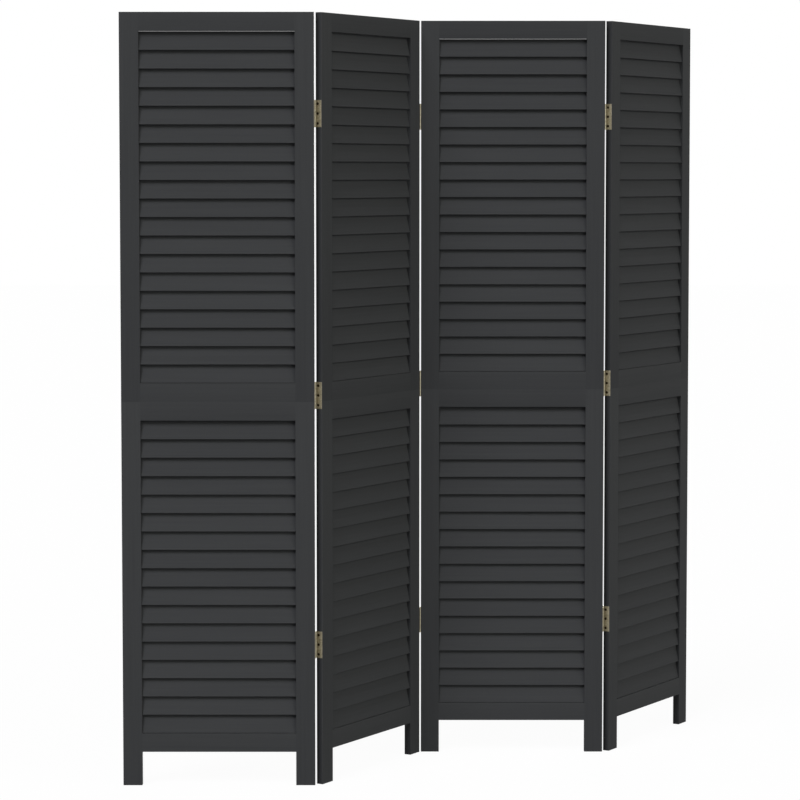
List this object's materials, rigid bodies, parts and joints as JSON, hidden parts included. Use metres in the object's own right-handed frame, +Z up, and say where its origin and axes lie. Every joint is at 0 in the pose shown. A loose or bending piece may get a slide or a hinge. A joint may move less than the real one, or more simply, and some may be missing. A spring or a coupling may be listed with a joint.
{
  "type": "folding room divider",
  "caption": "Free-standing folding screen of hinged louvred panels in dark painted wood, each made of two stacked half frames with fixed sloping slats and bronze butt hinges.",
  "frame": {"origin": "middle of the footprint at rest, on the floor", "axes": "+Z up, -Y towards the viewer in front of the first and third panels, +X from the first panel towards the last"},
  "size_m": [1.3942, 0.8018, 1.8],
  "materials": {
    "painted_wood": "satin charcoal paint over wood, close grain showing faintly",
    "hinges": "antique bronze plate, satin, darker in the corners",
    "screws": "dark antique bronze, satin",
    "joining_plates": "charcoal painted steel, satin",
    "dowels": "bare fluted beech, hidden in the joints"
  },
  "bodies": {
    "panel_1": {"first_hinges_left_leaves": "hinges", "first_hinges_pins": "hinges", "panel_1_bottom_rail": "painted_wood", "panel_1_dowels": "dowels", "panel_1_joining_plate": "joining_plates", "panel_1_lower_left_stile": "painted_wood", "panel_1_lower_mid_rail": "painted_wood", "panel_1_lower_right_stile": "painted_wood", "panel_1_lower_slats": "painted_wood", "panel_1_screws": "screws", "panel_1_top_rail": "painted_wood", "panel_1_upper_left_stile": "painted_wood", "panel_1_upper_mid_rail": "painted_wood", "panel_1_upper_right_stile": "painted_wood", "panel_1_upper_slats": "painted_wood"},
    "panel_2": {"first_hinges_right_leaves": "hinges", "middle_hinges_left_leaves": "hinges", "middle_hinges_pins": "hinges", "panel_2_bottom_rail": "painted_wood", "panel_2_dowels": "dowels", "panel_2_lower_left_stile": "painted_wood", "panel_2_lower_mid_rail": "painted_wood", "panel_2_lower_right_stile": "painted_wood", "panel_2_lower_slats": "painted_wood", "panel_2_screws": "screws", "panel_2_top_rail": "painted_wood", "panel_2_upper_left_stile": "painted_wood", "panel_2_upper_mid_rail": "painted_wood", "panel_2_upper_right_stile": "painted_wood", "panel_2_upper_slats": "painted_wood"},
    "panel_3": {"last_hinges_left_leaves": "hinges", "last_hinges_pins": "hinges", "middle_hinges_right_leaves": "hinges", "panel_3_bottom_rail": "painted_wood", "panel_3_dowels": "dowels", "panel_3_lower_left_stile": "painted_wood", "panel_3_lower_mid_rail": "painted_wood", "panel_3_lower_right_stile": "painted_wood", "panel_3_lower_slats": "painted_wood", "panel_3_screws": "screws", "panel_3_top_rail": "painted_wood", "panel_3_upper_left_stile": "painted_wood", "panel_3_upper_mid_rail": "painted_wood", "panel_3_upper_right_stile": "painted_wood", "panel_3_upper_slats": "painted_wood"},
    "panel_4": {"last_hinges_right_leaves": "hinges", "panel_4_bottom_rail": "painted_wood", "panel_4_dowels": "dowels", "panel_4_joining_plate": "joining_plates", "panel_4_lower_left_stile": "painted_wood", "panel_4_lower_mid_rail": "painted_wood", "panel_4_lower_right_stile": "painted_wood", "panel_4_lower_slats": "painted_wood", "panel_4_screws": "screws", "panel_4_top_rail": "painted_wood", "panel_4_upper_left_stile": "painted_wood", "panel_4_upper_mid_rail": "painted_wood", "panel_4_upper_right_stile": "painted_wood", "panel_4_upper_slats": "painted_wood"}
  },
  "joints": [
    {"name": "first_fold", "type": "hinge", "parent": "panel_1", "child": "panel_2", "pos_m": [-0.24604, -0.384, 0.9], "axis": [0, 0, 1], "range_deg": [-59.3, 120.7]},
    {"name": "middle_fold", "type": "hinge", "parent": "panel_2", "child": "panel_3", "pos_m": [0.00001, -0.00349, 0.9], "axis": [0, 0, 1], "range_deg": [-120.7, 59.3]},
    {"name": "last_fold", "type": "hinge", "parent": "panel_3", "child": "panel_4", "pos_m": [0.45281, 0.01381, 0.9], "axis": [0, 0, 1], "range_deg": [-59.3, 120.7]}
  ]
}
